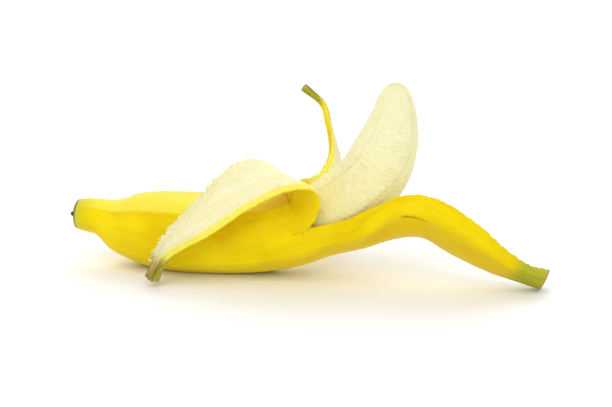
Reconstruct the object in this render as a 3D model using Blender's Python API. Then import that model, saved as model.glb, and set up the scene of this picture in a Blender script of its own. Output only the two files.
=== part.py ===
"""Peeled banana lying on its side, metres, +Z up.

One peel: closed and whole from the blossom end to the split, then three strips that still join it.
Each strip is a loft with a skin side, a pith side and torn edges, and ends in its share of the stem.
The pulp is one solid that starts inside the closed peel and curls up out of the split.
Sizes below are in millimetres, angles in degrees.
"""

import math

import bmesh
import bpy
import numpy as np

MM = 0.001

# The fruit, measured along its centreline from the blossom end
SPLIT_AT = 104.5  # where the peel parts into three strips
PULP_END = 188.2  # tip of the pulp
PLANE_TURN = -11.0  # the centreline's upright plane, turned about Z
START = (-75.6, 22.4)  # blossom end in that plane: along, up

# Rise of the centreline at a distance along it: the neck droops, the far half curls up
HEADINGS = (
    (0, -1), (8, -6), (13, -19), (19, -17), (26, -5), (39, -3), (59, 1), (79, 7), (93, 13),
    (103, 21), (118, 31), (134, 43), (148, 62), (161, 72), (173, 84), (187, 94),
)
# Outer radius of the peel, and radius of the pulp where it is out of the peel
PEEL_RADII = ((0, 6.7), (4, 7.5), (10, 8.1), (14, 9.4), (19.4, 12.2), (25, 14.5), (31, 16.2),
              (40, 17.5), (52, 18.0), (SPLIT_AT, 18.0))
PULP_RADII = ((SPLIT_AT, 14.3), (118, 14.5), (129, 14.8), (141, 14.8), (149, 14.5), (156, 13.9),
              (164, 12.5), (173, 10.2), (179, 8.3), (183, 6.7), (186, 4.6), (187.6, 2.4))
WALL = 3.2  # thickness of the peel
PLUG = 9.5  # the peel is solid from the blossom end to here
FIT = 0.35  # between the pulp and the peel
FIVE_SIDES = 0.022  # how far the section leans from a circle to a rounded five-sided one
RIDGE = 43.0  # angle of the uppermost ridge, from the front towards the top

# Angles round the section, from the front (0) over the top (90) to the back (180) and under
COLUMNS = (
    tuple(np.linspace(0, 100, 8)[:-1])
    + tuple(np.linspace(100, 225, 10)[:-1])
    + tuple(np.linspace(225, 360, 10)[:-1])
)
FRONT, BACK, RIGHT = (0, 7), (7, 16), (16, 25)  # columns of the three strips

# Front strip, folded over to the left: near edge, far edge (x, y, z), bow of the section, wall
FRONT_STRIP = (
    ((28.6, -24.6, 27.3), (21.2, -2.2, 42.4), 4.8, 3.2),
    ((33.4, -26.4, 33.4), (17.0, -4.0, 46.2), 2.4, 3.2),
    ((34.6, -27.6, 39.3), (12.0, -5.6, 49.4), 1.6, 3.2),
    ((32.6, -28.6, 43.9), (6.8, -7.2, 52.0), 1.2, 3.2),
    ((28.0, -29.0, 45.2), (1.6, -9.0, 52.8), 0.8, 3.2),
    ((21.0, -29.0, 44.2), (-3.4, -10.4, 50.8), 0.8, 3.2),
    ((13.0, -29.0, 40.8), (-9.0, -12.0, 46.6), 0.8, 3.2),
    ((3.6, -28.6, 35.4), (-16.0, -13.6, 40.4), 1.2, 3.2),
    ((-5.0, -28.4, 29.4), (-22.0, -14.8, 34.4), 1.5, 3.2),
    ((-14.0, -28.0, 23.2), (-28.2, -16.0, 27.8), 1.5, 3.2),
    ((-22.6, -26.2, 18.2), (-33.2, -17.4, 22.2), 1.2, 3.4),
    ((-28.8, -24.0, 13.4), (-36.6, -18.6, 16.4), 0.9, 3.8),
    ((-32.6, -22.2, 7.6), (-38.6, -19.0, 10.0), 0.8, 4.0),
    ((-34.6, -21.2, 2.4), (-40.0, -18.6, 4.0), 0.8, 4.0),
)
# Back strip, swung away behind and held up: top edge, lower edge, bow, wall
BACK_STRIP = (
    ((27.4, 1.0, 42.8), (40.6, 9.8, 14.4), 7.6, 3.2),
    ((32.4, 9.0, 42.2), (45.8, 15.0, 15.2), 3.6, 3.2),
    ((35.6, 18.6, 41.6), (48.6, 22.6, 15.6), 2.4, 3.2),
    ((39.4, 32.0, 45.4), (48.8, 33.0, 18.0), 2.4, 3.2),
    ((40.8, 43.0, 50.2), (47.6, 45.0, 26.0), 2.6, 3.0),
    ((40.2, 52.0, 54.0), (45.4, 54.0, 36.0), 2.0, 3.0),
    ((38.8, 59.0, 58.0), (42.2, 61.4, 47.0), 1.4, 3.0),
    ((37.8, 64.5, 61.9), (39.4, 67.6, 57.0), 1.0, 3.2),
    ((35.6, 67.5, 64.2), (36.4, 71.0, 61.4), 0.5, 3.3),
    ((31.9, 69.5, 66.2), (32.3, 73.4, 64.4), 0.4, 3.3),
    ((27.4, 71.0, 69.0), (27.8, 75.0, 67.4), 0.4, 3.3),
)
# Right strip, an open trough: centre of its section in the fruit's plane (along, up), radius,
# angle of its near edge, angle of its far edge, wall
RIGHT_STRIP = (
    ((34.6, 26.6), 18.0, 0, -135, 3.2),
    ((42.0, 29.0), 18.0, 0, -135, 3.2),
    ((51.2, 31.6), 17.9, 1, -134, 3.2),
    ((59.2, 34.6), 17.6, 4, -131, 3.2),
    ((67.0, 37.4), 17.6, 9, -127, 3.2),
    ((74.0, 39.2), 17.8, 14, -122, 3.2),
    ((81.0, 39.6), 18.0, 16, -120, 3.2),
    ((87.4, 38.6), 17.9, 16, -118, 3.2),
    ((93.4, 36.2), 17.8, 16, -116, 3.2),
    ((100.0, 32.2), 17.5, 15, -112, 3.2),
    ((107.0, 27.4), 16.6, 15, -107, 3.2),
    ((114.0, 21.8), 14.6, 13, -104, 3.3),
    ((120.0, 17.2), 12.4, 11, -104, 3.7),
    ((125.4, 13.8), 10.4, 8, -106, 4.6),
    ((131.0, 11.0), 9.3, 6, -108, 5.4),
    ((136.6, 8.7), 8.7, 4, -110, 5.6),
)
STRIP_ROWS = 3  # rows of faces between two stations of a strip
FLOOR = 0.0


def ease(x):
    x = min(max(x, 0.0), 1.0)
    return x * x * (3 - 2 * x)


def table(rows):
    """A smooth value along a table of (distance, value), that never overshoots a row."""
    at, value = (np.array(column, float) for column in zip(*rows))
    step = np.diff(at)
    rise = np.diff(value) / step
    slope = np.zeros(len(at))
    slope[0], slope[-1] = rise[0], rise[-1]
    for i in range(1, len(at) - 1):
        if rise[i - 1] * rise[i] > 0:
            slope[i] = 2 / (1 / rise[i - 1] + 1 / rise[i])

    def read(x):
        x = min(max(x, at[0]), at[-1])
        i = min(int(np.searchsorted(at, x, side="right")) - 1, len(step) - 1)
        u = (x - at[i]) / step[i]
        return float(
            (1 + 2 * u) * (1 - u) ** 2 * value[i] + u * (1 - u) ** 2 * step[i] * slope[i]
            + u * u * (3 - 2 * u) * value[i + 1] + u * u * (u - 1) * step[i] * slope[i + 1]
        )

    return read


TURN = math.radians(PLANE_TURN)
ALONG = np.array((math.cos(TURN), math.sin(TURN), 0.0))
NEAR = np.array((math.sin(TURN), -math.cos(TURN), 0.0))
UP = np.array((0.0, 0.0, 1.0))


def in_plane(along, up):
    return ALONG * along + UP * up


def centreline(step=0.5):
    """Distances along the centreline, its points and its headings."""
    heading = table(HEADINGS)
    at = np.arange(0.0, PULP_END + 2 * step, step)
    angle = np.radians([heading(s) for s in at])
    mid = np.radians([heading(s) for s in at[:-1] + step / 2])
    along = START[0] + np.concatenate([[0], np.cumsum(np.cos(mid)) * step])
    up = START[1] + np.concatenate([[0], np.cumsum(np.sin(mid)) * step])
    return at, along, up, angle


LINE = centreline()


def section(s):
    """Centre of the section at this distance, and the direction that its top faces."""
    at, along, up, angle = LINE
    a = float(np.interp(s, at, angle))
    centre = in_plane(float(np.interp(s, at, along)), float(np.interp(s, at, up)))
    if s < 0:
        centre = centre + s * (ALONG * math.cos(a) + UP * math.sin(a))
    return centre, -math.sin(a) * ALONG + math.cos(a) * UP


def round_section(centre, top, radius, degrees):
    a = math.radians(degrees)
    return centre + radius * (math.cos(a) * NEAR + math.sin(a) * top)


def five_sided(degrees, amount=1.0):
    return 1 + FIVE_SIDES * amount * math.cos(math.radians(5 * (degrees - RIDGE)))


PEEL_RADIUS = table(PEEL_RADII)
PULP_RADIUS = table(PULP_RADII)


def skin(s, degrees, inset=0.0):
    """A point of the closed peel's outer surface, or that far inside it."""
    centre, top = section(s)
    radius = PEEL_RADIUS(s) * five_sided(degrees, ease((s - 3) / 20)) - inset
    return round_section(centre, top, radius, degrees)


def spline(points, rows):
    """Points on a smooth path through the given ones (centripetal Catmull-Rom), skipping the first leg."""
    points = [np.array(p, float) for p in points]
    points.append(2 * points[-1] - points[-2])
    knots = [0.0]
    for a, b in zip(points, points[1:]):
        knots.append(knots[-1] + max(np.linalg.norm(b - a), 1e-6) ** 0.5)
    found = []
    for i in range(1, len(points) - 2):
        t0, t1, t2, t3 = knots[i - 1 : i + 3]
        p0, p1, p2, p3 = points[i - 1 : i + 3]
        for k in range(rows):
            t = t1 + (t2 - t1) * k / rows
            a1 = ((t1 - t) * p0 + (t - t0) * p1) / (t1 - t0)
            a2 = ((t2 - t) * p1 + (t - t1) * p2) / (t2 - t1)
            a3 = ((t3 - t) * p2 + (t - t2) * p3) / (t3 - t2)
            b1 = ((t2 - t) * a1 + (t - t0) * a2) / (t2 - t0)
            b2 = ((t3 - t) * a2 + (t - t1) * a3) / (t3 - t1)
            found.append(((t2 - t) * b1 + (t - t1) * b2) / (t2 - t1))
    found.append(points[-2])
    return np.array(found)


def bowed(first, last, outward, bow, share):
    """A point of the arc from first to last that stands off their chord by the bow, and which way it faces."""
    chord = last - first
    half = np.linalg.norm(chord) / 2
    bow = max(bow, 0.02 * half)
    radius = (half * half + bow * bow) / (2 * bow)
    a = (2 * share - 1) * 2 * math.atan(bow / half)
    faces = chord / (2 * half) * math.sin(a) + outward * math.cos(a)
    return (first + last) / 2 + outward * (bow - radius) + radius * faces, faces


def side_strip(stations, columns):
    """Skin and pith rows of a strip that has a path for each edge."""
    lo, hi = columns
    degrees = [COLUMNS[j % len(COLUMNS)] for j in range(lo, hi + 1)]
    root = np.array([skin(SPLIT_AT, d) for d in degrees])
    before = np.array([skin(SPLIT_AT - 6, d) for d in degrees])
    edges = [
        spline([before[c], root[c]] + [st[k] for st in stations], STRIP_ROWS)
        for k, c in ((0, 0), (1, -1))
    ]
    arc = math.radians((degrees[-1] - degrees[0]) / 2)
    bows = [PEEL_RADIUS(SPLIT_AT) * (1 - math.cos(arc))] + [st[2] for st in stations]
    bow = table(list(enumerate(bows)))
    wall = table(list(enumerate([WALL] + [st[3] for st in stations])))
    travel = np.gradient(edges[0] + edges[1], axis=0)
    travel /= np.linalg.norm(travel, axis=1, keepdims=True)
    onward = (root - before).mean(axis=0)
    onward /= np.linalg.norm(onward)
    outer, inner = [], []
    for i, (first, last) in enumerate(zip(*edges)):
        at = i / STRIP_ROWS
        turned = ease(at / 2)
        outward = np.cross(travel[i] * turned + onward * (1 - turned), last - first)
        outward /= np.linalg.norm(outward)
        row = [
            bowed(first, last, outward, bow(at), k / (len(degrees) - 1))
            for k in range(len(degrees))
        ]
        outer.append([p for p, _ in row])
        inner.append([p - faces * wall(at) for p, faces in row])
    return joined(np.array(outer), np.array(inner), degrees)


def trough_strip(stations, columns):
    """Skin and pith rows of the strip that keeps the section of the fruit."""
    lo, hi = columns
    degrees = np.array([COLUMNS[j % len(COLUMNS)] for j in range(lo, hi + 1)], float)
    degrees[degrees < 180] += 360
    degrees -= 360
    shares = (degrees - degrees[0]) / (degrees[-1] - degrees[0])
    root_centre, _ = section(SPLIT_AT)
    before, _ = section(SPLIT_AT - 6)
    path = spline([before, root_centre] + [in_plane(*st[0]) for st in stations], STRIP_ROWS)
    travel = np.gradient(path, axis=0)
    rows = [(0, PEEL_RADIUS(SPLIT_AT), 0, degrees[0], WALL)]
    rows += [(i + 1, *st[1:]) for i, st in enumerate(stations)]
    radius, near, far, wall = (table([(r[0], r[k]) for r in rows]) for k in (1, 2, 3, 4))
    outer, inner = [], []
    for i, centre in enumerate(path):
        at = i / STRIP_ROWS
        along = travel[i] / np.linalg.norm(travel[i])
        top = np.cross(along, NEAR)
        if top @ UP < 0:
            top = -top
        now = far(at) + (near(at) - far(at)) * shares
        radii = [radius(at) * five_sided(was) for was in degrees]
        outer.append([round_section(centre, top, r, d) for r, d in zip(radii, now)])
        inner.append([round_section(centre, top, r - wall(at), d) for r, d in zip(radii, now)])
    return joined(np.array(outer), np.array(inner), degrees)


def joined(outer, inner, degrees):
    """The rows, eased over the first stations so that they start on the closed peel's last ring."""
    for rows, inset in ((outer, 0.0), (inner, WALL)):
        lean = np.array([skin(SPLIT_AT, d, inset) for d in degrees]) - rows[0]
        for i in range(len(rows)):
            rows[i] += lean * (1 - ease(i / (2.0 * STRIP_ROWS)))
    return outer, inner


def mesh_object(name, points, faces, colour, collection):
    mesh = bpy.data.meshes.new(name)
    mesh.from_pydata([tuple(p) for p in np.array(points) * MM], [], faces)
    work = bmesh.new()
    work.from_mesh(mesh)
    bmesh.ops.recalc_face_normals(work, faces=work.faces)
    work.to_mesh(mesh)
    work.free()
    mesh.update()
    made = bpy.data.objects.new(name, mesh)
    collection.objects.link(made)
    material = bpy.data.materials.new(name)
    material.use_nodes = True
    shader = material.node_tree.nodes["Principled BSDF"]
    shader.inputs["Base Color"].default_value = (*colour, 1)
    shader.inputs["Roughness"].default_value = 0.5
    mesh.materials.append(material)
    return made


class Shape:
    """Points and faces gathered piece by piece."""

    def __init__(self):
        self.points, self.faces = [], []

    def add(self, rows):
        first = len(self.points)
        rows = np.asarray(rows, float)
        self.points.extend(rows.reshape(-1, 3))
        return first + np.arange(rows.reshape(-1, 3).shape[0]).reshape(rows.shape[:-1])

    def sheet(self, index, around=False):
        wide = index.shape[1]
        for i in range(index.shape[0] - 1):
            for j in range(wide if around else wide - 1):
                k = (j + 1) % wide
                self.faces.append(
                    [int(v) for v in (index[i, j], index[i, k], index[i + 1, k], index[i + 1, j])]
                )

    def fan(self, index, centre):
        hub = int(self.add([centre])[0])
        for j in range(len(index)):
            self.faces.append([int(index[j]), int(index[(j + 1) % len(index)]), hub])


def peel_shape():
    shape = Shape()
    outer_at = [0, 2.5, 6, 9.5, 12, 15, 18, 21.5, 25, 29, 34, 40, 47, 54, 61, 68, 75, 82, 89, 95, 100, SPLIT_AT]
    inner_at = [s for s in outer_at if s >= PLUG]
    outer = shape.add([[skin(s, d) for d in COLUMNS] for s in outer_at])
    shape.sheet(outer, around=True)
    # Blossom end: a rounded rim round a shallow dimple
    rim = []
    for s, r in ((-0.9, 5.6), (-1.0, 3.2), (-0.4, 2.0), (0.9, 1.7)):
        centre, top = section(s)
        rim.append([round_section(centre, top, r, d) for d in COLUMNS])
    rim = shape.add(rim)
    shape.sheet(np.vstack([outer[:1], rim[:1]]), around=True)
    shape.sheet(rim, around=True)
    shape.fan(rim[-1], section(1.0)[0])
    inner = shape.add([[skin(s, d, WALL) for d in COLUMNS] for s in inner_at])
    shape.sheet(inner, around=True)
    shape.fan(inner[0], section(PLUG - 1.5)[0])
    for columns, (skin_rows, pith_rows) in (
        (FRONT, side_strip(FRONT_STRIP, FRONT)),
        (BACK, side_strip(BACK_STRIP, BACK)),
        (RIGHT, trough_strip(RIGHT_STRIP, RIGHT)),
    ):
        pick = [j % len(COLUMNS) for j in range(columns[0], columns[1] + 1)]
        out = np.vstack([outer[-1, pick][None], shape.add(skin_rows[1:])])
        back = np.vstack([inner[-1, pick][None], shape.add(pith_rows[1:])])
        shape.sheet(out)
        shape.sheet(back)
        for edge in (0, -1):
            shape.sheet(np.stack([out[:, edge], back[:, edge]], axis=1))
        shape.sheet(np.stack([out[-1], back[-1]], axis=0))
    return shape


def pulp_shape():
    shape = Shape()
    at = [12, 15, 18, 21.5, 25, 29, 34, 40, 47, 54, 61, 68, 75, 82, 89, 95, 100, SPLIT_AT]
    rows = [[skin(s, d, WALL + FIT) for d in COLUMNS] for s in at]
    for s in (110, 116, 122, 128, 134, 140, 146, 152, 158, 163, 168, 172.5, 176.5, 180, 183, 185.5, 187.3):
        centre, top = section(s)
        radius = PULP_RADIUS(s)
        rows.append([
            round_section(centre, top, radius * five_sided(d, 0.8 * (1 - ease((s - 158) / 25))), d)
            for d in COLUMNS
        ])
    index = shape.add(rows)
    shape.sheet(index, around=True)
    shape.fan(index[0], section(10.8)[0])
    shape.fan(index[-1], section(PULP_END)[0])
    return shape


def nib_shape():
    """The dried end of the flower, seated in the dimple."""
    shape = Shape()
    rows = []
    sides = 10
    for s, r in ((0.5, 0.7), (0.2, 1.15), (-0.9, 1.2), (-2.2, 1.35), (-3.0, 0.9)):
        centre, top = section(s)
        rows.append([
            round_section(centre, top, r * (1.12 if k % 2 else 0.92), 360 * k / sides)
            for k in range(sides)
        ])
    index = shape.add(rows)
    shape.sheet(index, around=True)
    shape.fan(index[0], section(0.6)[0])
    shape.fan(index[-1], section(-2.6)[0])
    return shape


def main():
    for old in list(bpy.data.objects):
        bpy.data.objects.remove(old)
    collection = bpy.data.collections.new("peeled_banana")
    bpy.context.scene.collection.children.link(collection)
    shapes = {"peel": peel_shape(), "pulp": pulp_shape(), "blossom_nib": nib_shape()}
    for shape in shapes.values():
        shape.points = np.array(shape.points)
        shape.points[:, 2] = np.maximum(shape.points[:, 2], FLOOR)
    every = np.concatenate([shape.points for shape in shapes.values()])
    low, high = every.min(axis=0), every.max(axis=0)
    shift = np.array([(low[0] + high[0]) / 2, (low[1] + high[1]) / 2, FLOOR])
    colours = {"peel": (0.85, 0.62, 0.01), "pulp": (0.95, 0.9, 0.55), "blossom_nib": (0.08, 0.04, 0.02)}
    for name, shape in shapes.items():
        mesh_object(name, shape.points - shift, shape.faces, colours[name], collection)


main()
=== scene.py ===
"""Looks of the peeled banana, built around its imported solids. Sizes are in millimetres, angles in degrees."""

import math

import bmesh
import bpy
import numpy as np
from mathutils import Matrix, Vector, noise


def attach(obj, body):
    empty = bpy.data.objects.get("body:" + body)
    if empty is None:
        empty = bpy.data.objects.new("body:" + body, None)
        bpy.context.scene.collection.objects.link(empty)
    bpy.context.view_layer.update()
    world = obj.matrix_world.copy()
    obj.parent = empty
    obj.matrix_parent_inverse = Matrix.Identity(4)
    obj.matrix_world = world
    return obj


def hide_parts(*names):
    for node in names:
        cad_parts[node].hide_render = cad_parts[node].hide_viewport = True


MM = 0.001
FLOOR = 0.0
FRAME_CENTRE = np.array((28.14, 19.06, 0.0))  # middle of the whole, in the sizes below

# The fruit, measured along its centreline from the blossom end
SPLIT_AT = 104.5  # where the peel parts into three strips
PULP_END = 188.2
PLANE_TURN = -11.0  # the centreline's upright plane, turned about Z
START = (-75.6, 22.4)  # blossom end in that plane: along, up
HEADINGS = (
    (0, -1), (8, -6), (13, -19), (19, -17), (26, -5), (39, -3), (59, 1), (79, 7), (93, 13),
    (103, 21), (118, 31), (134, 43), (148, 62), (161, 72), (173, 84), (187, 94),
)
PEEL_RADII = ((0, 6.7), (4, 7.5), (10, 8.1), (14, 9.4), (19.4, 12.2), (25, 14.5), (31, 16.2),
              (40, 17.5), (52, 18.0), (SPLIT_AT, 18.0))
PULP_RADII = ((SPLIT_AT, 14.3), (118, 14.5), (129, 14.8), (141, 14.8), (149, 14.5), (156, 13.9),
              (164, 12.5), (173, 10.2), (179, 8.3), (183, 6.7), (186, 4.6), (187.6, 2.4))
WALL = 3.2
PLUG = 9.5
FIT = 0.35
FIVE_SIDES = 0.022
RIDGE = 43.0

# Where the three strips part, round the section, and how many columns of faces each has
FRONT, BACK, RIGHT = (0, 100, 54), (100, 225, 58), (225, 360, 72)
COLUMNS = np.concatenate([np.linspace(a, b, n + 1)[:-1] for a, b, n in (FRONT, BACK, RIGHT)])

# Front strip: near edge, far edge (x, y, z), bow of the section, wall
FRONT_STRIP = (
    ((28.6, -24.6, 27.3), (21.2, -2.2, 42.4), 4.8, 3.2),
    ((33.4, -26.4, 33.4), (17.0, -4.0, 46.2), 2.4, 3.2),
    ((34.6, -27.6, 39.3), (12.0, -5.6, 49.4), 1.6, 3.2),
    ((32.6, -28.6, 43.9), (6.8, -7.2, 52.0), 1.2, 3.2),
    ((28.0, -29.0, 45.2), (1.6, -9.0, 52.8), 0.8, 3.2),
    ((21.0, -29.0, 44.2), (-3.4, -10.4, 50.8), 0.8, 3.2),
    ((13.0, -29.0, 40.8), (-9.0, -12.0, 46.6), 0.8, 3.2),
    ((3.6, -28.6, 35.4), (-16.0, -13.6, 40.4), 1.2, 3.2),
    ((-5.0, -28.4, 29.4), (-22.0, -14.8, 34.4), 1.5, 3.2),
    ((-14.0, -28.0, 23.2), (-28.2, -16.0, 27.8), 1.5, 3.2),
    ((-22.6, -26.2, 18.2), (-33.2, -17.4, 22.2), 1.2, 3.4),
    ((-28.8, -24.0, 13.4), (-36.6, -18.6, 16.4), 0.9, 3.8),
    ((-32.6, -22.2, 7.6), (-38.6, -19.0, 10.0), 0.8, 4.0),
    ((-34.6, -21.2, 2.4), (-40.0, -18.6, 4.0), 0.8, 4.0),
)
# Back strip: top edge, lower edge, bow, wall
BACK_STRIP = (
    ((27.4, 1.0, 42.8), (40.6, 9.8, 14.4), 7.6, 3.2),
    ((32.4, 9.0, 42.2), (45.8, 15.0, 15.2), 3.6, 3.2),
    ((35.6, 18.6, 41.6), (48.6, 22.6, 15.6), 2.4, 3.2),
    ((39.4, 32.0, 45.4), (48.8, 33.0, 18.0), 2.4, 3.2),
    ((40.8, 43.0, 50.2), (47.6, 45.0, 26.0), 2.6, 3.0),
    ((40.2, 52.0, 54.0), (45.4, 54.0, 36.0), 2.0, 3.0),
    ((38.8, 59.0, 58.0), (42.2, 61.4, 47.0), 1.4, 3.0),
    ((37.8, 64.5, 61.9), (39.4, 67.6, 57.0), 1.0, 3.2),
    ((35.6, 67.5, 64.2), (36.4, 71.0, 61.4), 0.5, 3.3),
    ((31.9, 69.5, 66.2), (32.3, 73.4, 64.4), 0.4, 3.3),
    ((27.4, 71.0, 69.0), (27.8, 75.0, 67.4), 0.4, 3.3),
)
# Right strip: centre of its section (along, up), radius, angles of its near and far edges, wall
RIGHT_STRIP = (
    ((34.6, 26.6), 18.0, 0, -135, 3.2),
    ((42.0, 29.0), 18.0, 0, -135, 3.2),
    ((51.2, 31.6), 17.9, 1, -134, 3.2),
    ((59.2, 34.6), 17.6, 4, -131, 3.2),
    ((67.0, 37.4), 17.6, 9, -127, 3.2),
    ((74.0, 39.2), 17.8, 14, -122, 3.2),
    ((81.0, 39.6), 18.0, 16, -120, 3.2),
    ((87.4, 38.6), 17.9, 16, -118, 3.2),
    ((93.4, 36.2), 17.8, 16, -116, 3.2),
    ((100.0, 32.2), 17.5, 15, -112, 3.2),
    ((107.0, 27.4), 16.6, 15, -107, 3.2),
    ((114.0, 21.8), 14.6, 13, -104, 3.3),
    ((120.0, 17.2), 12.4, 11, -104, 3.7),
    ((125.4, 13.8), 10.4, 8, -106, 4.6),
    ((131.0, 11.0), 9.3, 6, -108, 5.4),
    ((136.6, 8.7), 8.7, 4, -110, 5.6),
)
FRONT_ROWS, BACK_ROWS, RIGHT_ROWS = 16, 9, 9  # rows of faces between two stations
RIM = 5  # points across a torn edge
RIM_THIN = 0.45  # share of the wall that is gone at a torn edge
STEM = {"front": 24.0, "back": 22.0, "right": 22.0}  # length of the stem share at each strip's end

# Crease pressed along the right strip below its near rim: (along, angle)
CREASE = ((44, -46), (53, -33), (61, -21), (68, -10), (73, -8), (80, -8), (86, -13), (94, -20))
# Fold in the right strip, darkened with painted shade: (length along it, angle of the column)
SLIT = ((47.0, 335.0), (50.5, 331.5), (54.5, 329.5), (60.0, 326.0), (64.0, 323.0))
SLIT_WIDTH, SLIT_DEPTH = 1.9, 1.3
# Seams between the three lobes of the flesh: (distance, angle)
SEAMS = (
    ((104, 50), (125, 51), (134, 49), (142, 46), (150, 40), (157, 36), (164, 34), (177, 34), (188, 40)),
    ((104, -10), (135, -26), (146, -34), (149, -40), (153, -46), (157, -53), (163, -57), (174, -60),
     (188, -62)),
    ((104, 168), (150, 165), (188, 168)),
)


def ease(x):
    x = min(max(x, 0.0), 1.0)
    return x * x * (3 - 2 * x)


def table(rows):
    """A smooth value along a table of (distance, value), that never overshoots a row."""
    at, value = (np.array(column, float) for column in zip(*rows))
    step = np.diff(at)
    rise = np.diff(value) / step
    slope = np.zeros(len(at))
    slope[0], slope[-1] = rise[0], rise[-1]
    for i in range(1, len(at) - 1):
        if rise[i - 1] * rise[i] > 0:
            slope[i] = 2 / (1 / rise[i - 1] + 1 / rise[i])

    def read(x):
        x = min(max(x, at[0]), at[-1])
        i = min(int(np.searchsorted(at, x, side="right")) - 1, len(step) - 1)
        u = (x - at[i]) / step[i]
        return float(
            (1 + 2 * u) * (1 - u) ** 2 * value[i] + u * (1 - u) ** 2 * step[i] * slope[i]
            + u * u * (3 - 2 * u) * value[i + 1] + u * u * (u - 1) * step[i] * slope[i + 1]
        )

    return read


TURN = math.radians(PLANE_TURN)
ALONG = np.array((math.cos(TURN), math.sin(TURN), 0.0))
NEAR = np.array((math.sin(TURN), -math.cos(TURN), 0.0))
UP = np.array((0.0, 0.0, 1.0))


def in_plane(along, up):
    return ALONG * along + UP * up


def centreline(step=0.5):
    heading = table(HEADINGS)
    at = np.arange(0.0, PULP_END + 2 * step, step)
    angle = np.radians([heading(s) for s in at])
    mid = np.radians([heading(s) for s in at[:-1] + step / 2])
    along = START[0] + np.concatenate([[0], np.cumsum(np.cos(mid)) * step])
    up = START[1] + np.concatenate([[0], np.cumsum(np.sin(mid)) * step])
    return at, along, up, angle


LINE = centreline()


def section(s):
    """Centre of the section at this distance, and the direction that its top faces."""
    at, along, up, angle = LINE
    a = float(np.interp(s, at, angle))
    centre = in_plane(float(np.interp(s, at, along)), float(np.interp(s, at, up)))
    if s < 0:
        centre = centre + s * (ALONG * math.cos(a) + UP * math.sin(a))
    return centre, -math.sin(a) * ALONG + math.cos(a) * UP


def round_section(centre, top, radius, degrees):
    a = math.radians(degrees)
    return centre + radius * (math.cos(a) * NEAR + math.sin(a) * top)


def gap(a, b):
    """Signed difference of two angles."""
    return (a - b + 180) % 360 - 180


def five_sided(degrees, amount=1.0):
    return 1 + FIVE_SIDES * amount * math.cos(math.radians(5 * (degrees - RIDGE)))


PEEL_RADIUS, PULP_RADIUS, SLIT_AT = table(PEEL_RADII), table(PULP_RADII), table(SLIT)


def slit(length, column):
    """How deep the fold of the right strip is here, from 0 to 1; it also sets how strong the fold's painted
    shade is.
    """
    inside = ease((length - SLIT[0][0]) / 5) * ease((SLIT[-1][0] - length) / 6)
    return inside * math.exp(-(((column - SLIT_AT(length)) / SLIT_WIDTH) ** 2))


def skin(s, degrees, inset=0.0):
    centre, top = section(s)
    radius = PEEL_RADIUS(s) * five_sided(degrees, ease((s - 3) / 20)) - inset
    return round_section(centre, top, radius, degrees)


def spline(points, rows):
    """Points on a smooth path through the given ones (centripetal Catmull-Rom), skipping the first leg."""
    points = [np.array(p, float) for p in points]
    points.append(2 * points[-1] - points[-2])
    knots = [0.0]
    for a, b in zip(points, points[1:]):
        knots.append(knots[-1] + max(np.linalg.norm(b - a), 1e-6) ** 0.5)
    found = []
    for i in range(1, len(points) - 2):
        t0, t1, t2, t3 = knots[i - 1 : i + 3]
        p0, p1, p2, p3 = points[i - 1 : i + 3]
        for k in range(rows):
            t = t1 + (t2 - t1) * k / rows
            a1 = ((t1 - t) * p0 + (t - t0) * p1) / (t1 - t0)
            a2 = ((t2 - t) * p1 + (t - t1) * p2) / (t2 - t1)
            a3 = ((t3 - t) * p2 + (t - t2) * p3) / (t3 - t2)
            b1 = ((t2 - t) * a1 + (t - t0) * a2) / (t2 - t0)
            b2 = ((t3 - t) * a2 + (t - t1) * a3) / (t3 - t1)
            found.append(((t2 - t) * b1 + (t - t1) * b2) / (t2 - t1))
    found.append(points[-2])
    return np.array(found)


def rough(*at):
    """Smooth noise from -1 to 1, the same on every run."""
    return noise.noise(Vector(at))


def ragged(share, distance, width, key, depth):
    """Where a column lands once its two edges are torn back unevenly: a share of the strip's width."""
    for side in (0, 1):
        back = depth[side] * (
            0.5 + 0.5 * rough(distance * 0.11, key + 9 * side, 0)
            + 0.35 * rough(distance * 0.45, key + 9 * side, 4)
            + 0.45 * rough(distance * 1.1, key + 9 * side, 8)
        )
        mm = (1 - share if side else share) * width
        moved = max(back, 0.0) * math.exp(-mm / 2.6) / max(width, 1.0)
        share += -moved if side else moved
    return share


def bowed(first, last, outward, bow, share):
    """A point of the arc from first to last that stands off their chord by the bow, and its outward way."""
    chord = last - first
    half = np.linalg.norm(chord) / 2
    bow = max(bow, 0.02 * half)
    radius = (half * half + bow * bow) / (2 * bow)
    a = (2 * share - 1) * 2 * math.atan(bow / half)
    faces = chord / (2 * half) * math.sin(a) + outward * math.cos(a)
    return (first + last) / 2 + outward * (bow - radius) + radius * faces, faces


def thinned(wall, mm_from_edge, fade):
    """The wall thins towards a torn edge, where the pith has come away."""
    return wall * (1 - RIM_THIN * fade * math.exp(-((mm_from_edge / 2.2) ** 2)))


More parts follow.
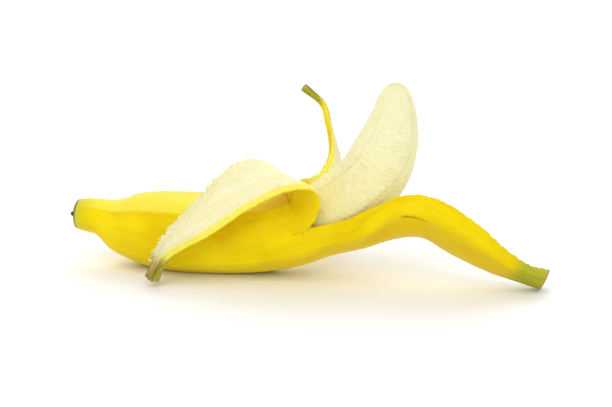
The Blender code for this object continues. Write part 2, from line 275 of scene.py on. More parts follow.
def side_strip(stations, columns, rows, key, depth):
    """Skin and pith rows of a strip that has a path for each edge, with the length along it."""
    degrees = np.linspace(columns[0], columns[1], columns[2] + 1)
    root = np.array([skin(SPLIT_AT, d) for d in degrees])
    before = np.array([skin(SPLIT_AT - 6, d) for d in degrees])
    edges = [
        spline([before[c], root[c]] + [st[k] for st in stations], rows) for k, c in ((0, 0), (1, -1))
    ]
    arc = math.radians((degrees[-1] - degrees[0]) / 2)
    bow = table(list(enumerate([PEEL_RADIUS(SPLIT_AT) * (1 - math.cos(arc))] + [st[2] for st in stations])))
    wall = table(list(enumerate([WALL] + [st[3] for st in stations])))
    travel = np.gradient(edges[0] + edges[1], axis=0)
    travel /= np.linalg.norm(travel, axis=1, keepdims=True)
    onward = (root - before).mean(axis=0)
    onward /= np.linalg.norm(onward)
    middle = (edges[0] + edges[1]) / 2
    length = np.concatenate([[0], np.cumsum(np.linalg.norm(np.diff(middle, axis=0), axis=1))])
    outer, inner, width = [], [], []
    for i, (first, last) in enumerate(zip(*edges)):
        at = i / rows
        turned = ease(at / 2)
        outward = np.cross(travel[i] * turned + onward * (1 - turned), last - first)
        outward /= np.linalg.norm(outward)
        wide = np.linalg.norm(last - first)
        fade = ease(length[i] / 12) * ease((length[-1] - length[i]) / 10)
        row, pith = [], []
        for k in range(len(degrees)):
            share = k / (len(degrees) - 1)
            moved = ragged(share, length[i], wide, key, [d * fade for d in depth])
            point, faces = bowed(first, last, outward, bow(at), moved)
            row.append(point)
            pith.append(point - faces * thinned(wall(at), min(share, 1 - share) * wide, fade))
        outer.append(row)
        inner.append(pith)
        width.append(wide)
    return joined(np.array(outer), np.array(inner), degrees, rows), length, np.array(width)


def trough_strip(stations, columns, rows, key, depth):
    """Skin and pith rows of the strip that keeps the section of the fruit."""
    degrees = np.linspace(columns[0], columns[1], columns[2] + 1) - 360
    shares = (degrees - degrees[0]) / (degrees[-1] - degrees[0])
    root_centre, _ = section(SPLIT_AT)
    before, _ = section(SPLIT_AT - 6)
    path = spline([before, root_centre] + [in_plane(*st[0]) for st in stations], rows)
    travel = np.gradient(path, axis=0)
    length = np.concatenate([[0], np.cumsum(np.linalg.norm(np.diff(path, axis=0), axis=1))])
    sizes = [(0, PEEL_RADIUS(SPLIT_AT), 0, degrees[0], WALL)]
    sizes += [(i + 1, *st[1:]) for i, st in enumerate(stations)]
    radius, near, far, wall = (table([(r[0], r[k]) for r in sizes]) for k in (1, 2, 3, 4))
    crease = table(CREASE)
    outer, inner, width = [], [], []
    for i, centre in enumerate(path):
        at = i / rows
        along = travel[i] / np.linalg.norm(travel[i])
        top = np.cross(along, NEAR)
        if top @ UP < 0:
            top = -top
        spread = near(at) - far(at)
        wide = radius(at) * math.radians(spread)
        fade = ease(length[i] / 12) * ease((length[-1] - length[i]) / 10)
        here = float(centre @ ALONG)
        pressed = ease((here - 46) / 12) * ease((98 - here) / 12)
        row, pith = [], []
        for was, share in zip(degrees, shares):
            moved = ragged(share, length[i], wide, key, [d * fade for d in depth])
            now = far(at) + spread * moved
            off = now - crease(here)
            # A rounded ridge with a shallow hollow above it, up to the rim
            lift = pressed * (
                1.0 * math.exp(-((off / 7) ** 2)) - 1.2 * math.exp(-(((off - 13) / 6) ** 2))
            ) - SLIT_DEPTH * slit(length[i], was + 360) - 0.8 * pressed * math.exp(-(((off + 17) / 11) ** 2))
            r = radius(at) * five_sided(was) + lift
            row.append(round_section(centre, top, r, now))
            depth_here = thinned(wall(at), min(share, 1 - share) * wide, fade)
            pith.append(round_section(centre, top, r - depth_here, now))
        outer.append(row)
        inner.append(pith)
        width.append(wide)
    return joined(np.array(outer), np.array(inner), degrees, rows), length, np.array(width)


def joined(outer, inner, degrees, rows):
    """The rows, eased over the first stations so that they start on the closed peel's last ring."""
    for side, inset in ((outer, 0.0), (inner, WALL)):
        lean = np.array([skin(SPLIT_AT, d, inset) for d in degrees]) - side[0]
        for i in range(len(side)):
            side[i] += lean * (1 - ease(i / (2.0 * rows)))
    return outer, inner


class Shape:
    """Points with what the materials need to know of each, and faces."""

    FIELDS = ("along", "unroll_x", "unroll_y", "unroll_z", "torn", "stem", "skin", "part", "rim", "crease")

    def __init__(self):
        self.points, self.values, self.faces = [], [], []

    def add(self, rows, values):
        """values holds one number or one array, shaped like the rows, for each field."""
        rows = np.asarray(rows, float)
        first = sum(len(p) for p in self.points)
        grid = rows.shape[:-1]
        self.points.append(rows.reshape(-1, 3))
        full = [np.broadcast_to(np.asarray(values[f], float), grid).reshape(-1) for f in self.FIELDS]
        self.values.append(np.array(full).T)
        return first + np.arange(int(np.prod(grid))).reshape(grid)

    def sheet(self, index, around=False):
        if around:
            index = np.concatenate([index, index[:, :1]], axis=1)
        corners = np.stack([index[:-1, :-1], index[:-1, 1:], index[1:, 1:], index[1:, :-1]], axis=-1)
        self.faces.extend(corners.reshape(-1, 4).tolist())

    def fan(self, index, centre, values):
        hub = int(self.add([centre], values)[0])
        index = [int(i) for i in index]
        self.faces.extend([a, b, hub] for a, b in zip(index, index[1:] + index[:1]))

    def built(self, name, materials):
        points, values = np.concatenate(self.points), np.concatenate(self.values)
        mesh = bpy.data.meshes.new(name)
        mesh.from_pydata(points.tolist(), [], self.faces)
        work = bmesh.new()
        work.from_mesh(mesh)
        bmesh.ops.recalc_face_normals(work, faces=work.faces)
        work.to_mesh(mesh)
        work.free()
        for k, field in enumerate(self.FIELDS):
            if not field.startswith("unroll"):
                made = mesh.attributes.new(field, "FLOAT", "POINT")
                made.data.foreach_set("value", values[:, k].astype(np.float32))
        flat = mesh.attributes.new("unroll", "FLOAT_VECTOR", "POINT")
        flat.data.foreach_set("vector", values[:, 1:4].astype(np.float32).ravel())
        for material in materials:
            mesh.materials.append(material)
        made = bpy.data.objects.new(name, mesh)
        bpy.context.scene.collection.objects.link(made)
        return made, points, values


def fields(along, degrees, radius=18.0, torn=99.0, stem=0.0, skin_side=1.0, part=0.0, rim=99.0, crease=0.0):
    a = np.radians(degrees)
    return {
        "along": along, "unroll_x": along, "unroll_y": radius * np.cos(a), "unroll_z": radius * np.sin(a),
        "torn": torn, "stem": stem, "skin": skin_side, "part": part, "rim": rim, "crease": crease,
    }


# Rings of the blossom end's face, and of the dried stub in it: (distance, radius)
END_FACE = ((-0.5, 6.35), (-0.9, 5.6), (-1.15, 4.9), (-1.2, 4.1), (-1.1, 3.2), (-0.8, 2.5), (-0.3, 2.05),
            (0.9, 1.7))
NIB = ((0.5, 0.7), (0.2, 1.1), (-0.4, 1.15), (-0.9, 1.15), (-1.4, 1.3), (-2.0, 1.35), (-2.5, 1.25),
       (-3.0, 1.05), (-3.6, 0.8), (-3.5, 0.4))


def peel_shape():
    """The closed peel and its three strips as one skin; also each strip's pith rows, for the fibres."""
    shape = Shape()
    outer_at = np.concatenate([np.arange(0, 10, 0.5), np.linspace(10, SPLIT_AT, 112)])
    inner_at = np.concatenate([np.linspace(PLUG, 88, 9)[:-1], np.linspace(88, SPLIT_AT, 18)])
    wide = len(COLUMNS)
    outer = shape.add([[skin(s, d) for d in COLUMNS] for s in outer_at],
                      fields(outer_at[:, None], COLUMNS[None]))
    shape.sheet(outer, around=True)
    rim, rim_along = [], []
    for s, r in END_FACE:
        centre, top = section(s)
        rim.append([round_section(centre, top, r, d) for d in COLUMNS])
        rim_along.append(r - 6.9)
    rim = shape.add(rim, fields(np.array(rim_along)[:, None], COLUMNS[None], radius=5.0))
    shape.sheet(np.vstack([outer[:1], rim]), around=True)
    shape.fan(rim[-1], section(1.0)[0], fields(-6.0, 0.0))
    inner = shape.add([[skin(s, d, WALL) for d in COLUMNS] for s in inner_at],
                      fields(inner_at[:, None], COLUMNS[None], skin_side=0.0))
    shape.sheet(inner, around=True)
    shape.fan(inner[0], section(PLUG - 1.5)[0], fields(PLUG, 0.0, skin_side=0.0))

    # Points across the wall at the bottom of each tear, shared by the strips on its two sides
    share = np.arange(1, RIM + 1) / (RIM + 1)
    notch = {}
    for at, column in ((0, 0), (FRONT[2], 100), (FRONT[2] + BACK[2], 225)):
        a, b = skin(SPLIT_AT, COLUMNS[at]), skin(SPLIT_AT, COLUMNS[at], WALL)
        row = [a + (b - a) * t for t in share]
        notch[at] = shape.add(row, fields(SPLIT_AT, float(column), torn=0.0, rim=0.0, skin_side=1 - share))

    strips = {}
    start = 0
    for part, (name, columns, stations, rows, make, depth) in enumerate((
        ("front", FRONT, FRONT_STRIP, FRONT_ROWS, side_strip, (0.7, 1.9)),
        ("back", BACK, BACK_STRIP, BACK_ROWS, side_strip, (1.1, 1.1)),
        ("right", RIGHT, RIGHT_STRIP, RIGHT_ROWS, trough_strip, (1.0, 0.9)),
    )):
        (skin_rows, pith_rows), length, width = make(stations, columns, rows, 20.0 * part, depth)
        degrees = np.linspace(columns[0], columns[1], columns[2] + 1)
        pick = [(start + j) % wide for j in range(columns[2] + 1)]
        lo, hi = start % wide, (start + columns[2]) % wide
        start += columns[2]
        along = (SPLIT_AT + length)[:, None]
        shares = np.linspace(0, 1, columns[2] + 1)[None]
        torn = np.minimum(shares, 1 - shares) * width[:, None]
        # The skin shows as a yellow band on every torn edge but the front strip's far one
        rim = torn + np.where((shares > 0.5) & (name == "front"), 2.6, 0.0)
        stem = np.array([ease(1 - (length[-1] - x) / STEM[name]) for x in length])[:, None]
        # How strong the painted shade in the right strip's fold is, carried in the crease field
        fold = np.array([[slit(x, d) if name == "right" else 0.0 for d in degrees] for x in length[1:]])
        out = np.vstack([outer[-1, pick][None], shape.add(
            skin_rows[1:], fields(along[1:], degrees[None], torn=torn[1:], rim=rim[1:], stem=stem[1:],
                                  part=part + 1.0, crease=fold))])
        back = np.vstack([inner[-1, pick][None], shape.add(
            pith_rows[1:],
            fields(along[1:], degrees[None], torn=torn[1:], rim=rim[1:], stem=stem[1:], skin_side=0.0,
                   part=part + 1.0))])
        shape.sheet(out)
        shape.sheet(back)
        walls = []
        for side, corner, next_in, at in ((0, 0, 1, lo), (1, -1, -2, hi)):
            rows_here = []
            for i in range(1, len(skin_rows)):
                a, b = skin_rows[i, corner], pith_rows[i, corner]
                sideways = a - skin_rows[i, next_in]
                sideways /= max(np.linalg.norm(sideways), 1e-9)
                # Torn pith fills the narrow bottom of each tear
                bulge = np.linalg.norm(b - a) * (
                    0.3 * ease(length[i] / 8)
                    + 0.5 * ease(length[i] / 3) * math.exp(-((length[i] / 10) ** 2)))
                rows_here.append([
                    a + (b - a) * t + sideways * (
                        bulge * math.sin(math.pi * t)
                        * (1 + 0.8 * rough(length[i] * 0.9, 3 * t, part + side)))
                    for t in share
                ])
            made = shape.add(rows_here, fields(
                along[1:], float(degrees[corner]), torn=0.0, rim=rim[1:, corner][:, None], stem=stem[1:],
                skin_side=(1 - share)[None], part=part + 1.0))
            wall = np.vstack([notch[at][None], made])
            walls.append(wall)
            shape.sheet(np.concatenate([out[:, corner][:, None], wall, back[:, corner][:, None]], axis=1))
        # Cut or broken end of the stem share
        caps = []
        for t in share:
            caps.append(skin_rows[-1, 1:-1] * (1 - t) + pith_rows[-1, 1:-1] * t)
        cap = shape.add(caps, fields(
            float(along[-1, 0]) + 3.0, degrees[None, 1:-1], torn=0.0, stem=1.0, skin_side=0.5,
            part=part + 1.0))
        grid = np.vstack([out[-1][None], np.column_stack([walls[0][-1], cap, walls[1][-1]]), back[-1][None]])
        shape.sheet(grid)
        strips[name] = (pith_rows, skin_rows, length)
    return shape, strips


def peel_relief(value):
    """How far a point of the peel stands off its smooth form."""
    along, ux, uy, uz, torn, stem, skin_side, part, rim, _ = value
    angle = math.degrees(math.atan2(uz, uy))
    lift = 0.22 * rough(ux * 0.055, uy * 0.09, uz * 0.09) + 0.07 * rough(ux * 0.2, uy * 0.33, uz * 0.33 + 7)
    if skin_side > 0.5:
        if along > 2:
            body = ease((along - 4) / 22) * (1 - stem)
            near_ridge = min(abs(gap(angle, RIDGE + 72 * k)) for k in range(5))
            ridge = math.exp(-((near_ridge / 4.0) ** 2))
            hollow = math.exp(-(((near_ridge - 20) / 12) ** 2))
            lift += 0.5 * body * (ridge - 0.35 * hollow)
        lift += 0.03 * rough(ux * 0.6, uy * 1.2, uz * 1.2)
        neck = ease((30 - along) / 20) if along > 0 else 1.0
        lift += 0.12 * neck * rough(ux * 0.12, uy * 0.8, uz * 0.8)
    else:
        if along < SPLIT_AT:
            return 0.0
        fibre = rough(ux * 0.05, uy * 1.1, uz * 1.1) + 0.6 * rough(ux * 0.13, uy * 2.3, uz * 2.3 + 3)
        crumb = rough(ux * 0.9, uy * 0.9, uz * 0.9 + 8) + 0.5 * rough(ux * 1.9, uy * 1.9, uz * 1.9)
        lift += (0.22 * fibre + (0.32 if part == 1.0 else 0.2) * crumb) * ease((along - SPLIT_AT) / 10)
        lift -= 0.1
        if part == 1.0:
            # Short ribs across the pith near the far edge, where it tore away
            comb = math.exp(-((torn / 6.5) ** 2)) if rim > torn + 1 else 0.0
            lift += 0.6 * comb * rough(ux * 0.85, uy * 0.16, uz * 0.16 + 15) + 0.35 * comb * crumb
    if torn < 2.5 and along > SPLIT_AT:
        edge = (1 - torn / 2.5) * ease((along - SPLIT_AT) / 8)
        lift += 0.28 * edge * (rough(ux * 0.42, uy * 0.5, uz * 0.5 + 11) + 0.6 * rough(ux * 1.1, uy, uz + 5))
    if stem > 0:
        strand = rough(ux * 0.08, uy * 1.9, uz * 1.9 + 2) + 0.5 * rough(ux * 0.25, uy * 3.5, uz * 3.5)
        lift += 0.3 * stem * strand
    lift *= ease((along + 7.0) / 6.0)
    return lift


def pulp_shape():
    shape = Shape()
    columns = np.linspace(0, 360, 200, endpoint=False)
    at = np.concatenate([np.linspace(12, 92, 30), np.linspace(92, 187.6, 300)[1:]])
    seams = [table(seam) for seam in SEAMS]
    rows = []
    for s in at:
        if s <= SPLIT_AT:
            rows.append([skin(s, d, WALL + FIT) for d in columns])
            continue
        centre, top = section(s)
        radius = PULP_RADIUS(s)
        amount = 0.8 * (1 - ease((s - 158) / 25))
        rows.append([round_section(centre, top, radius * five_sided(d, amount), d) for d in columns])
    seam_of = np.array([
        [min((gap(d, seam(s)) for seam in seams), key=abs) * math.radians(PULP_RADIUS(s)) for d in columns]
        for s in at
    ])
    values = fields(at[:, None], columns[None], radius=14.5, torn=seam_of, skin_side=0.0, part=9.0)
    index = shape.add(rows, values)
    shape.sheet(index, around=True)
    shape.fan(index[0], section(10.8)[0], fields(10.8, 0.0, torn=9.0, skin_side=0.0))
    tip = section(PULP_END - 0.25)[0]
    shape.fan(index[-1], tip, fields(PULP_END, 0.0, radius=1.0, torn=0.0, skin_side=0.0))
    return shape


def pulp_relief(value):
    """Seams between the lobes, and fine wrinkles that run across the flesh."""
    along, ux, uy, uz, seam, *_ = value
    if along < 92:
        return 0.0
    free = ease((along - 96) / 10)
    close = ease((PULP_END - along) / 8)
    groove = math.exp(-((seam / 0.5) ** 2))
    shoulder = math.exp(-((abs(seam) - 1.6) ** 2) / 1.2)
    lift = close * (-0.26 * groove + 0.05 * shoulder)
    bent = ux + 1.3 * rough(ux * 0.05, uy * 0.1, uz * 0.1) + 0.05 * seam * seam * 0.1
    wrinkle = 0.5 * rough(bent * 0.6, uy * 0.12, uz * 0.12) + rough(bent * 1.15, uy * 0.28, uz * 0.28 + 4)
    lower = 1 - 0.45 * ease((along - 120) / 55)
    lift += 0.3 * lower * wrinkle * (1 - 0.5 * groove)
    lift += 0.1 * rough(ux * 0.9, uy * 0.7, uz * 0.7 + 9)
    lift += 0.05 * rough(ux * 0.2, uy * 0.9, uz * 0.9)
    lift += 0.3 * rough(ux * 0.05, uy * 0.075, uz * 0.075 + 20)
    return lift * free


def nib_shape():
    """The dried end of the flower: a small ridged stub, broken off unevenly."""
    shape = Shape()
    sides = 30
    rows, along = [], []
    for s, r in NIB:
        centre, top = section(s)
        rows.append([
            round_section(centre, top, r * (1 + 0.12 * math.cos(math.radians(5 * 360 * k / sides))
                                            + 0.1 * rough(k * 0.9, s, 0)), 360 * k / sides)
            for k in range(sides)
        ])
        along.append(s)
    turns = np.arange(sides) * 360 / sides
    index = shape.add(rows, fields(np.array(along)[:, None], turns[None], radius=1.2))
    shape.sheet(index, around=True)
    shape.fan(index[0], section(0.6)[0], fields(0.6, 0.0))
    shape.fan(index[-1], section(-3.2)[0], fields(-3.2, 0.0))
    return shape


def strand(shape, path, radius, values, sides=6):
    """A tapered fibre along a path."""
    path = np.array(path, float)
    travel = np.gradient(path, axis=0)
    rows = []
    turns = np.linspace(0, 2 * math.pi, sides, endpoint=False)
    side = np.array((0.31, 0.52, 0.79))
    for i, (p, t) in enumerate(zip(path, travel)):
        t = t / max(np.linalg.norm(t), 1e-9)
        u = np.cross(t, side)
        u /= max(np.linalg.norm(u), 1e-9)
        v = np.cross(t, u)
        r = radius * (1 - 0.75 * i / (len(path) - 1))
        rows.append([p + r * (math.cos(a) * u + math.sin(a) * v) for a in turns])
    index = shape.add(rows, values)
    shape.sheet(index, around=True)
    shape.fan(index[0], path[0], {k: np.ravel(values[k])[0] for k in values})
    shape.fan(index[-1], path[-1] + travel[-1] * 0.2, {k: np.ravel(values[k])[-1] for k in values})


# Loose fibres: strip, how many, on which edges, longest
FRINGE = (("front", 230, (1,), 2.4), ("back", 44, (0, 1), 1.8), ("right", 40, (0, 1), 1.5))


def fibres_shape(strips):
    """Loose fibres: a fringe along the torn edges."""
    shape = Shape()
    draw = np.random.default_rng(11)
    for name, count, edges, reach in FRINGE:
        pith, skins, length = strips[name]
        for k in range(count):
            edge = edges[k % len(edges)]
            i = int(draw.integers(int(len(length) * 0.12), int(len(length) * 0.93)))
            last = pith.shape[1] - 1
            j, inward = (last, -3) if edge else (0, 3)
            at = pith[i, j] * 0.55 + skins[i, j] * 0.45
            outward = pith[i, j] - pith[i, j + inward]
            outward /= max(np.linalg.norm(outward), 1e-9)
            onward = pith[min(i + 2, len(pith) - 1), j] - pith[max(i - 2, 0), j]
            onward /= max(np.linalg.norm(onward), 1e-9)
            lift = pith[i, j + inward] - skins[i, j + inward]
            lift /= max(np.linalg.norm(lift), 1e-9)
            size = reach * draw.uniform(0.3, 1.0)
            lean, curl = draw.uniform(0.4, 2.2), draw.uniform(-0.4, 0.9)
            way = outward + onward * lean
            way /= np.linalg.norm(way)
            path = [
                at - outward * 0.7 + way * size * t + lift * curl * t * t * size * 0.6
                for t in np.linspace(0, 1, 7)
            ]
            values = fields(SPLIT_AT + length[i], 0.0, torn=1.0, skin_side=0.0, part=6.0)
            strand(shape, path, draw.uniform(0.14, 0.34), values)
    return shape


def finished(shape, name, materials, relief=None):
    """The object, with its relief pressed in, in the frame's metres."""
    made, points, values = shape.built(name, materials)
    mesh = made.data
    if relief:
        normals = np.empty(len(points) * 3, np.float32)
        mesh.vertex_normals.foreach_get("vector", normals)
        normals = normals.reshape(-1, 3).astype(float)
        lifts = np.array([relief(v) for v in values])
        points = points + normals * lifts[:, None]
    points[:, 2] = np.maximum(points[:, 2], FLOOR)
    mesh.vertices.foreach_set("co", ((points - FRAME_CENTRE) * MM).astype(np.float32).ravel())
    mesh.update()
    for polygon in mesh.polygons:
        polygon.use_smooth = True
    return made


class Nodes:
    """Short calls for a material's nodes. Lengths in the node tree are millimetres of the peel or flesh."""

    def __init__(self, name):
        self.material = bpy.data.materials.new(name)
        self.material.use_nodes = True
        self.tree = self.material.node_tree
        self.shader = self.tree.nodes["Principled BSDF"]

    def put(self, socket, value):
        if isinstance(value, bpy.types.NodeSocket):
            self.tree.links.new(value, socket)
        elif isinstance(value, tuple) and len(value) == 3 and socket.type == "RGBA":
            socket.default_value = (*value, 1)
        else:
            socket.default_value = value

    def field(self, name, out="Fac"):
        node = self.tree.nodes.new("ShaderNodeAttribute")
        node.attribute_name = name
        return node.outputs[out]

    def math(self, kind, *values, clamp=False):
        node = self.tree.nodes.new("ShaderNodeMath")
        node.operation = kind
        node.use_clamp = clamp
        for socket, value in zip(node.inputs, values):
            self.put(socket, value)
        return node.outputs[0]

    def span(self, value, low, high, first=0.0, last=1.0):
        """The value moved from low..high to first..last, smoothly and no further."""
        node = self.tree.nodes.new("ShaderNodeMapRange")
        node.interpolation_type = "SMOOTHSTEP"
        for socket, v in zip(node.inputs, (value, low, high, first, last)):
            self.put(socket, v)
        return node.outputs[0]

    def mix(self, factor, a, b, kind="MIX"):
        node = self.tree.nodes.new("ShaderNodeMix")
        node.data_type = "RGBA"
        node.blend_type = kind
        self.put(node.inputs[0], factor)
        self.put(node.inputs[6], a)
        self.put(node.inputs[7], b)
        return node.outputs[2]

    def stretched(self, size):
        """The unrolled coordinate, scaled by that much along, round and through."""
        node = self.tree.nodes.new("ShaderNodeVectorMath")
        node.operation = "MULTIPLY"
        self.put(node.inputs[0], self.field("unroll", "Vector"))
        node.inputs[1].default_value = size
        return node.outputs[0]

    def noise(self, size, detail=3.0, rough=0.55, twist=0.0):
        node = self.tree.nodes.new("ShaderNodeTexNoise")
        self.put(node.inputs["Vector"], self.stretched(size))
        node.inputs["Scale"].default_value = 1.0
        node.inputs["Detail"].default_value = detail
        node.inputs["Roughness"].default_value = rough
        node.inputs["Distortion"].default_value = twist
        return node.outputs["Fac"]

    def bump(self, height, strength, distance, under=None):
        node = self.tree.nodes.new("ShaderNodeBump")
        node.inputs["Strength"].default_value = strength
        node.inputs["Distance"].default_value = distance * MM
        self.put(node.inputs["Height"], height)
        if under is not None:
            self.put(node.inputs["Normal"], under)
        return node.outputs[0]

    def finish(self, colour, roughness, normal=None, **constants):
        self.put(self.shader.inputs["Base Color"], colour)
        self.put(self.shader.inputs["Roughness"], roughness)
        if normal is not None:
            self.put(self.shader.inputs["Normal"], normal)
        for name, value in constants.items():
            self.shader.inputs[name.replace("_", " ")].default_value = value
        return self.material


def srgb(r, g, b):
    return tuple(((c / 255 + 0.055) / 1.055) ** 2.4 if c > 10 else c / 255 / 12.92 for c in (r, g, b))


def peel_material():
    n = Nodes("peel")
    along, rim, stem, side = (n.field(f) for f in ("along", "rim", "stem", "skin"))
    blotch = n.noise((0.035, 0.06, 0.06), 3)
    streak = n.noise((0.03, 0.55, 0.55), 4, 0.6)
    fine = n.noise((0.35, 0.9, 0.9), 4, 0.6)
    # Skin
    skin = n.mix(n.span(blotch, 0.35, 0.65), srgb(229, 198, 1), srgb(243, 218, 8))
    skin = n.mix(n.span(streak, 0.45, 0.75, 0.0, 0.3), skin, srgb(223, 186, 2))
    skin = n.mix(n.span(fine, 0.5, 0.8, 0.0, 0.22), skin, srgb(252, 232, 70))
    # Painted shade: the strips' skin is darkened to a deeper yellow on its underside, where less light falls
    height = n.tree.nodes.new("ShaderNodeSeparateXYZ")
    n.put(height.inputs[0], n.field("unroll", "Vector"))
    under = n.math("MULTIPLY", n.span(height.outputs[2], -14.0, -3.0, 1.0, 0.0), n.span(along, 112.0, 146.0))
    skin = n.mix(n.math("MULTIPLY", under, 0.65), skin, srgb(216, 182, 1))
    # Painted highlight: the two facets between the upper ridges of the closed half are paler, where light from
    # above falls on them
    painted_top_highlight = n.math("MULTIPLY", n.span(height.outputs[2], 11.6, 13.6), n.span(along, 90.0, 104.0, 0.5, 0.0))
    skin = n.mix(painted_top_highlight, skin, srgb(253, 238, 84))
    # Green at the blossom end, and its brown ring and end face
    green = n.math("MULTIPLY", n.span(along, 1.5, 11.0, 1.0, 0.0), n.span(streak, 0.2, 0.7, 0.9, 0.5))
    skin = n.mix(green, skin, srgb(206, 198, 20))
    skin = n.mix(n.span(along, 0.8, 4.0, 0.6, 0.0), skin, srgb(196, 202, 72))
    ring = n.math("MULTIPLY", n.span(along, -1.9, -1.2), n.span(along, 0.0, 0.9, 1.0, 0.0))
    skin = n.mix(n.math("MULTIPLY", ring, 0.85), skin, srgb(122, 80, 48))
    face = n.mix(n.span(fine, 0.3, 0.7), srgb(196, 150, 112), srgb(160, 112, 78))
    skin = n.mix(n.span(along, -1.6, -0.9, 1.0, 0.0), skin, face)
    skin = n.mix(n.span(along, -4.6, -3.4, 1.0, 0.0), skin, srgb(96, 64, 40))
    # Stem shares: green skin, then brown and dry towards the break
    stalk = n.mix(n.span(streak, 0.35, 0.65), srgb(158, 162, 34), srgb(186, 184, 54))
    skin = n.mix(n.span(stem, 0.12, 0.6), skin, stalk)
    # Painted shade in the right strip's fold (the crease field)
    skin = n.mix(n.math("MULTIPLY", n.field("crease"), 0.75), skin, srgb(120, 92, 14))
    skin = n.mix(n.span(stem, 0.99, 0.998, 0.0, 0.7), skin, srgb(188, 150, 100))
    # Pith
    fibre = n.noise((0.035, 1.0, 1.0), 4, 0.65, 0.3)
    pith = n.mix(n.span(fibre, 0.35, 0.7), srgb(255, 250, 208), srgb(252, 239, 178))
    pith = n.mix(n.span(blotch, 0.4, 0.7, 0.0, 0.5), pith, srgb(255, 254, 222))
    crumbs = n.noise((0.9, 1.1, 1.1), 4, 0.7)
    pith = n.mix(n.span(crumbs, 0.5, 0.72, 0.0, 0.5), pith, srgb(240, 226, 140))
    # Finer, darker ribs across the pith of the front strip near its edges, where it came away in threads
    comb = n.noise((1.5, 0.22, 0.22), 3, 0.6)
    front = n.math("LESS_THAN", n.field("part"), 1.5)
    torn = n.math("MULTIPLY", n.span(n.field("torn"), 2.0, 9.0, 1.0, 0.0), front)
    ribs = n.math("MULTIPLY", torn, n.span(comb, 0.48, 0.66, 0.0, 0.55))
    pith = n.mix(ribs, pith, srgb(236, 216, 128))
    band = n.math("ADD", rim, n.math("MULTIPLY", n.math("SUBTRACT", fine, 0.5), 3.0))
    pith = n.mix(n.span(band, 1.6, 3.8, 0.92, 0.0), pith, srgb(255, 243, 84))
    # Painted shade, tinted yellow, on the pith at the bottom of the tears where the strips part
    painted_notch_shade = n.span(along, SPLIT_AT - 4, SPLIT_AT + 14, 1.0, 0.0)
    pith = n.mix(n.math("MULTIPLY", painted_notch_shade, 0.9), pith, srgb(246, 218, 50))
    # Only the front strip's stem is dry and brown; the two others are still green
    woody = n.mix(n.span(fibre, 0.42, 0.6), srgb(240, 214, 134), srgb(164, 126, 56))
    woody = n.mix(front, n.mix(n.span(fibre, 0.4, 0.62), srgb(196, 190, 84), srgb(172, 164, 60)), woody)
    pith = n.mix(n.span(stem, 0.35, 0.85), pith, woody)
    near_rim = n.math("MULTIPLY", n.span(stem, 0.4, 0.8), n.span(rim, 1.6, 2.6, 1.0, 0.0))
    pith = n.mix(n.math("MULTIPLY", near_rim, 0.85), pith, srgb(158, 152, 34))
    colour = n.mix(n.span(side, 0.12, 0.62), pith, skin)
    # Broken end of the stem
    across = n.math("MULTIPLY", n.span(side, 0.1, 0.5), n.span(side, 0.5, 0.9, 1.0, 0.0))
    end = n.math("MULTIPLY", n.span(stem, 0.9, 1.0), across)
    colour = n.mix(n.math("MULTIPLY", end, 0.7), colour, srgb(196, 162, 106))
    rough = n.math("ADD", n.span(side, 0.2, 0.7, 0.72, 0.44), n.math("MULTIPLY", fine, 0.12))
    leathery = n.math("MULTIPLY", n.noise((0.8, 1.4, 1.4), 4, 0.65), n.span(side, 0.3, 0.7, 0.0, 0.25))
    crumbly = n.math("MULTIPLY", crumbs, n.span(side, 0.3, 0.7, 1.4, 0.0))
    grain = n.bump(n.math("ADD", leathery, crumbly), 0.7, 0.5)
    normal = n.bump(fibre, 0.3, 0.25, grain)
    return n.finish(
        colour, rough, normal,
        Subsurface_Weight=0.1, Subsurface_Radius=(1.0, 0.7, 0.15), Subsurface_Scale=0.0012,
        Specular_IOR_Level=0.3, Specular_Tint=(1.0, 0.9, 0.16, 1.0),
    )


def pulp_material():
    n = Nodes("pulp")
    along, seam = n.field("along"), n.field("torn")
    mottle = n.noise((0.12, 0.2, 0.2), 4, 0.6)
    across = n.noise((1.7, 0.34, 0.34), 3, 0.6, 0.3)
    strings = n.noise((0.04, 0.9, 0.9), 3, 0.6)
    # Painted shade: the flesh is darker and more yellow low down, towards the peel
    flesh = n.mix(n.span(along, 104, 170), srgb(246, 231, 150), srgb(255, 249, 206))
    flesh = n.mix(n.span(mottle, 0.35, 0.7, 0.0, 0.55), flesh, srgb(250, 243, 182))
    wrinkled = n.math("MULTIPLY", n.span(across, 0.48, 0.7), n.span(along, 150, 185, 0.55, 0.25))
    flesh = n.mix(wrinkled, flesh, srgb(230, 212, 128))
    pits = n.noise((1.5, 0.8, 0.8), 4, 0.7)
    flesh = n.mix(n.span(pits, 0.5, 0.72, 0.0, 0.4), flesh, srgb(238, 224, 146))
    flesh = n.mix(n.span(strings, 0.55, 0.8, 0.0, 0.3), flesh, srgb(255, 253, 226))
    off = n.math("ABSOLUTE", seam)
    line = n.math("MULTIPLY", n.span(off, 0.15, 0.8, 1.0, 0.0), n.span(mottle, 0.3, 0.6, 0.35, 1.0))
    flesh = n.mix(n.math("MULTIPLY", line, 0.4), flesh, srgb(238, 222, 148))
    tip = n.span(along, PULP_END - 3.5, PULP_END - 1.0)
    flesh = n.mix(n.math("MULTIPLY", tip, 0.14), flesh, srgb(214, 190, 120))
    # Painted shade next to the peel, tinted deep yellow
    flesh = n.mix(n.span(along, 104.0, 119.0, 0.85, 0.0), flesh, srgb(253, 226, 76))
    rough = n.math("ADD", 0.5, n.math("MULTIPLY", mottle, 0.2))
    grain = n.bump(pits, 0.7, 0.5)
    normal = n.bump(across, 0.8, 0.6, grain)
    return n.finish(
        flesh, rough, normal,
        Subsurface_Weight=0.4, Subsurface_Radius=(1.0, 0.85, 0.5), Subsurface_Scale=0.0025,
        Specular_IOR_Level=0.4,
    )


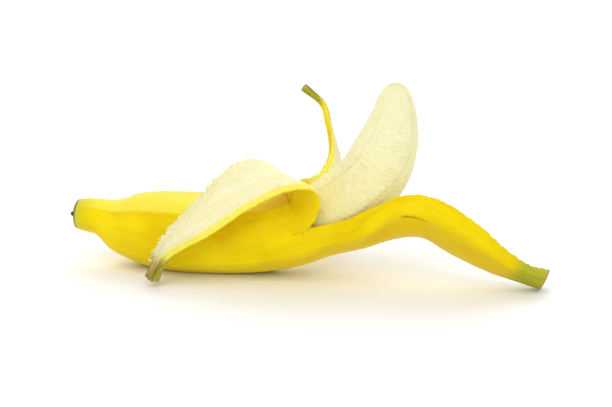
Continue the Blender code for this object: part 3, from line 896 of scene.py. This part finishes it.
def nib_material():
    n = Nodes("blossom_nib")
    grain = n.noise((1.4, 2.5, 2.5), 4, 0.6)
    colour = n.mix(n.span(grain, 0.35, 0.7), srgb(22, 13, 8), srgb(66, 40, 24))
    return n.finish(colour, 0.8, n.bump(grain, 0.6, 0.2))


def floor_material():
    n = Nodes("floor")
    return n.finish(srgb(250, 250, 250), 0.9, Specular_IOR_Level=0.1)


# Camera, framed on the middle of the object; its height is in degrees above the horizon
CAMERA_TARGET, CAMERA_DISTANCE, CAMERA_HEIGHT, LENS = (1.26, -19.06, 31.5), 650.0, 16.0, 85.9


def studio():
    """Pale floor, an even sky, two broad soft lights (camera's side and behind), and the camera."""
    scene = bpy.context.scene
    half = 4.0  # metres
    mesh = bpy.data.meshes.new("floor")
    corners = [(-half, -half, 0), (half, -half, 0), (half, half, 0), (-half, half, 0)]
    mesh.from_pydata(corners, [], [(0, 1, 2, 3)])
    floor = bpy.data.objects.new("floor", mesh)
    scene.collection.objects.link(floor)
    mesh.materials.append(floor_material())
    floor.location.z = -0.00005
    world = bpy.data.worlds.new("studio")
    scene.world = world
    world.use_nodes = True
    world.node_tree.nodes["Background"].inputs["Color"].default_value = (1, 1, 1, 1)
    world.node_tree.nodes["Background"].inputs["Strength"].default_value = 0.72
    scene.view_settings.view_transform = "Standard"
    scene.view_settings.look = "None"
    for name, place, spread, strength in (
        ("key", (-0.2, -0.7, 0.9), 50.0, 0.95),
        ("back", (0.1, 0.75, 0.75), 60.0, 1.0),
    ):
        light = bpy.data.lights.new(name, "SUN")
        light.angle = math.radians(spread)
        light.energy = strength
        lamp = bpy.data.objects.new(name, light)
        lamp.rotation_euler = Vector(place).to_track_quat("Z", "Y").to_euler()
        scene.collection.objects.link(lamp)
    target = Vector(CAMERA_TARGET) * MM
    above = math.radians(CAMERA_HEIGHT)
    back = Vector((0, -math.cos(above), math.sin(above)))
    data = bpy.data.cameras.new("camera")
    data.sensor_width = 36.0
    data.lens = LENS
    data.clip_start = 0.01
    camera = bpy.data.objects.new("camera", data)
    camera.location = target + back * CAMERA_DISTANCE * MM
    camera.rotation_mode = "QUATERNION"
    camera.rotation_quaternion = (-back).to_track_quat("-Z", "Y")
    scene.collection.objects.link(camera)
    scene.camera = camera


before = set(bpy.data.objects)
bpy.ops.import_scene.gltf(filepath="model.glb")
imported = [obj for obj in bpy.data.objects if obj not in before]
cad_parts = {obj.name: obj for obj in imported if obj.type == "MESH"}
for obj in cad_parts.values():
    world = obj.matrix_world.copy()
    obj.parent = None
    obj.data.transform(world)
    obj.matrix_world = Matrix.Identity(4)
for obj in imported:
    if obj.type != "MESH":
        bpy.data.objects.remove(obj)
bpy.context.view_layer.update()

studio()
peel_look, pulp_look, nib_look = peel_material(), pulp_material(), nib_material()
peel_form, strips = peel_shape()
for form, name, look, relief, node in (
    (peel_form, "peel_skin", peel_look, peel_relief, "peel"),
    (pulp_shape(), "flesh", pulp_look, pulp_relief, "pulp"),
    (nib_shape(), "dried_blossom", nib_look, None, "blossom_nib"),
    (fibres_shape(strips), "peel_fibres", peel_look, None, None),
):
    piece = finished(form, name, [look], relief)
    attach(piece, "root")
    if node:
        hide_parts(node)
